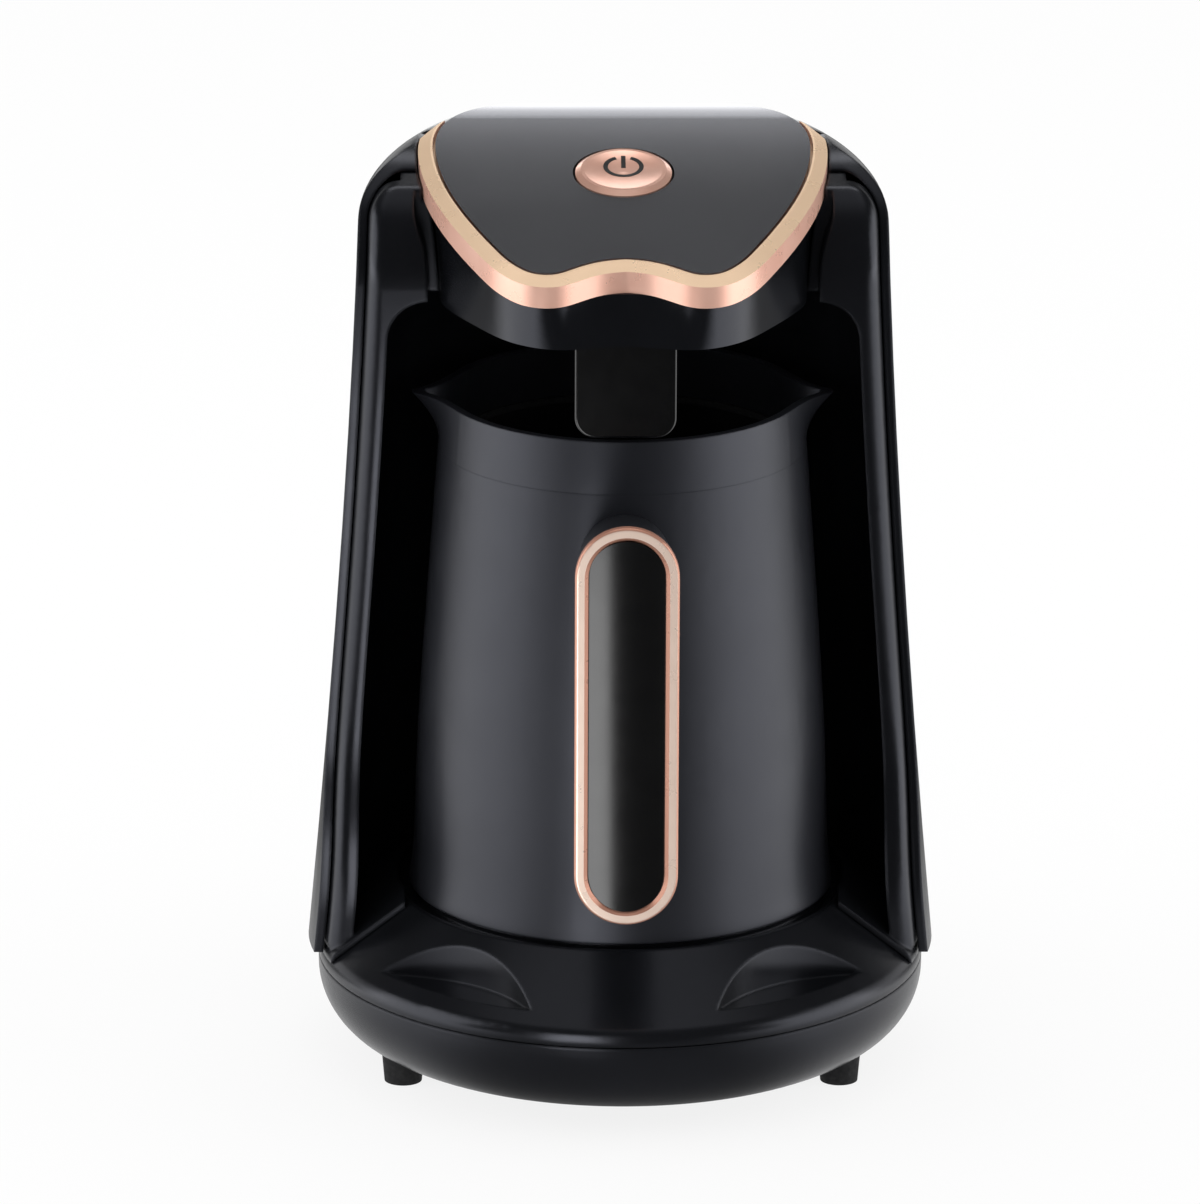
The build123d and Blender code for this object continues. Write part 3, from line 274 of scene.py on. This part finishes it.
# open ring: angle from one side of the gap round to the other, radius across the stroke
turn, across = np.meshgrid(np.linspace(mark_gap, 2 * math.pi - mark_gap, 97),
                           np.linspace(-0.5, 0.5, 5), indexing="ij")
reach = mark_radius + across * mark_stroke
stroke("power_mark_ring", reach * np.sin(turn), mark_rise + reach * np.cos(turn))
# bar: straight up the slope through the gap
along, across = np.meshgrid(np.linspace(bar_foot, mark_radius + bar_over, 17),
                            np.linspace(0.5, -0.5, 5), indexing="ij")
stroke("power_mark_bar", across * mark_stroke, mark_rise + along)


# ---------------------------------------------------------------- floor
sweep = 6.0                  # the floor reaches this far each way, in metres
ambient = 0.85               # even light from the floor and the room on matt surfaces
white = 1.0                  # what the eye sees of the floor and the room

# how bright gloss meets the floor, where 1 is white
front_glow, side_glow = 0.06, 1.9
back_share = 0.1             # behind the machine this share of it is left
# close to the feet gloss meets the floor dimmer still: a painted shadow of the machine
painted_shadow_front_glow, painted_shadow_side_glow = 0.22, 0.75

mesh = bpy.data.meshes.new("floor")
mesh.from_pydata([(-sweep, -sweep, 0), (sweep, -sweep, 0), (sweep, sweep, 0), (-sweep, sweep, 0)],
                 [], [(0, 1, 2, 3)])
floor = bpy.data.objects.new("floor", mesh)
scene.collection.objects.link(floor)

# white paper sweep: lit by the lamps, lifted to white for the eye so that only its shadow shows. Gloss
# doesn't meet that plain white. It meets a floor brighter than white at the sides and dim in front and
# behind, so that black plastic stays black between its highlights, and dimmer close to the feet as a painted
# shadow
paper = bpy.data.materials.new("white_paper")
paper.use_nodes = True
tree = paper.node_tree
tree.nodes.clear()
path = node(tree, "ShaderNodeLightPath").outputs
place = node(tree, "ShaderNodeTexCoord").outputs["Object"]
heading = node(tree, "ShaderNodeVectorMath", {0: place}, operation="NORMALIZE").outputs["Vector"]
away = node(tree, "ShaderNodeVectorMath", {0: place}, operation="LENGTH").outputs["Value"]
behind = node(tree, "ShaderNodeSeparateXYZ", {0: heading}).outputs["Y"]
from_back = node(tree, "ShaderNodeMapRange",
                 {"Value": behind, "From Min": 0.1, "From Max": 0.55, "To Min": 1.0, "To Max": back_share},
                 interpolation_type="SMOOTHSTEP").outputs["Result"]
round_it = node(tree, "ShaderNodeMapRange",
                {"Value": behind, "From Min": -0.95, "From Max": -0.5,
                 "To Min": front_glow, "To Max": side_glow},
                interpolation_type="SMOOTHSTEP").outputs["Result"]
# painted shadow: how far clear of the machine gloss meets the floor at its full glow
clear_of_painted_shadow = node(tree, "ShaderNodeMapRange", {"Value": away, "From Min": 0.08, "From Max": 0.27},
                   interpolation_type="SMOOTHSTEP").outputs["Result"]
far_off = node(tree, "ShaderNodeMath", {0: round_it, 1: from_back}, operation="MULTIPLY").outputs[0]
painted_shadow_glow = node(tree, "ShaderNodeMapRange",
                {"Value": round_it, "From Min": front_glow, "From Max": side_glow,
                 "To Min": painted_shadow_front_glow, "To Max": painted_shadow_side_glow})
mirrored = node(tree, "ShaderNodeMix",
                {0: clear_of_painted_shadow, 2: painted_shadow_glow.outputs["Result"], 3: far_off}).outputs[0]
shine = node(tree, "ShaderNodeMix", {0: path["Is Camera Ray"], 2: mirrored, 3: white}).outputs[0]
glow = node(tree, "ShaderNodeEmission", {"Color": (1, 1, 1, 1), "Strength": shine}).outputs[0]
sheet = node(tree, "ShaderNodeBsdfDiffuse", {"Color": linear("#F4F4F4")}).outputs[0]
sent_on = node(tree, "ShaderNodeMath", {0: path["Is Glossy Ray"], 1: path["Is Transmission Ray"]},
               operation="MAXIMUM").outputs[0]
lift = node(tree, "ShaderNodeMath", {0: path["Is Camera Ray"], 1: ambient, 2: sent_on},
            operation="MULTIPLY_ADD").outputs[0]
mix = node(tree, "ShaderNodeMixShader", {0: lift, 1: sheet, 2: glow}).outputs[0]
node(tree, "ShaderNodeOutputMaterial", {"Surface": mix})
mesh.materials.append(paper)


# ---------------------------------------------------------------- light
def softbox(name, place, aim, width, height, radiance):
    """Rectangular soft light at a place, turned towards aim, as bright as radiance all over its face."""
    lamp = bpy.data.lights.new(name, "AREA")
    lamp.shape = "RECTANGLE"
    lamp.size = width
    lamp.size_y = height
    lamp.energy = radiance * math.pi * width * height
    made = bpy.data.objects.new(name, lamp)
    made.location = place
    made.rotation_euler = (Vector(aim) - Vector(place)).to_track_quat("-Z", "Y").to_euler()
    made.visible_camera = False
    scene.collection.objects.link(made)
    return made


middle = (0, 0, 0.11)
softbox("left_softbox", (-1.3, -0.15, 0.45), middle, 1.2, 0.88, 2.0)
softbox("right_softbox", (1.3, -0.15, 0.45), middle, 1.2, 0.88, 2.0)
softbox("top_softbox", (0, 0.56, 1.32), middle, 1.0, 0.3, 2.4)
# two small ones stand close and only gloss sees them: a card behind the lid for the lid's gradient, and
# a strip in front of the grip for the grey left half of its insert
card = softbox("white_card_behind", (0, 0.12, 0.255), (0, 0, 0.255), 0.115, 0.11, 1.5)
card.visible_diffuse = False
strip = softbox("handle_strip", (-0.055, -0.205, 0.058), (0, -0.084, 0.09), 0.06, 0.12, 4.2)
strip.visible_diffuse = False

# room: white for the eye. Gloss sees a pale backdrop low down behind, half light straight overhead and
# hardly anything elsewhere
backdrop = 0.8
side_level, overhead = 0.05, 0.5
world = bpy.data.worlds.new("studio")
world.use_nodes = True
tree = world.node_tree
back = tree.nodes["Background"]
back.inputs["Color"].default_value = (1, 1, 1, 1)
path = node(tree, "ShaderNodeLightPath").outputs
way = node(tree, "ShaderNodeSeparateXYZ",
           {0: node(tree, "ShaderNodeTexCoord").outputs["Generated"]}).outputs
backwards = node(tree, "ShaderNodeMapRange", {"Value": way["Y"], "From Min": 0.05, "From Max": 0.35},
                 interpolation_type="SMOOTHSTEP").outputs["Result"]
low_down = node(tree, "ShaderNodeMapRange",
                {"Value": way["Z"], "From Min": 0.25, "From Max": 0.5, "To Min": backdrop, "To Max": 0.0},
                interpolation_type="SMOOTHSTEP").outputs["Result"]
ceiling = node(tree, "ShaderNodeMapRange",
               {"Value": way["Z"], "From Min": 0.8, "From Max": 0.97,
                "To Min": side_level, "To Max": overhead},
               interpolation_type="SMOOTHSTEP").outputs["Result"]
reflected = node(tree, "ShaderNodeMath", {0: backwards, 1: low_down, 2: ceiling},
                 operation="MULTIPLY_ADD").outputs[0]
sent_on = node(tree, "ShaderNodeMath", {0: path["Is Glossy Ray"], 1: path["Is Transmission Ray"]},
               operation="MAXIMUM").outputs[0]
level = node(tree, "ShaderNodeMix", {0: sent_on, 2: ambient, 3: reflected}).outputs[0]
shine = node(tree, "ShaderNodeMix", {0: path["Is Camera Ray"], 2: level, 3: white}).outputs[0]
tree.links.new(shine, back.inputs["Strength"])
scene.world = world


# ---------------------------------------------------------------- camera
view_down, view_turn, view_roll = 17.55, -0.8, 0.24      # degrees
camera_data = bpy.data.cameras.new("camera")
camera_data.sensor_fit = "HORIZONTAL"
camera_data.sensor_width = 36
camera_data.lens = 306.3
camera_data.clip_end = 20
camera = bpy.data.objects.new("camera", camera_data)
orbit = Matrix.Rotation(math.radians(view_turn), 4, "Z")
aim = Matrix.Rotation(math.radians(90 - view_down), 4, "X")
roll = Matrix.Rotation(math.radians(view_roll), 4, "Z")
camera.matrix_world = orbit @ Matrix.Translation((-0.0053, -2.382, 0.868)) @ aim @ roll
scene.collection.objects.link(camera)
scene.camera = camera
scene.view_settings.view_transform = "Standard"
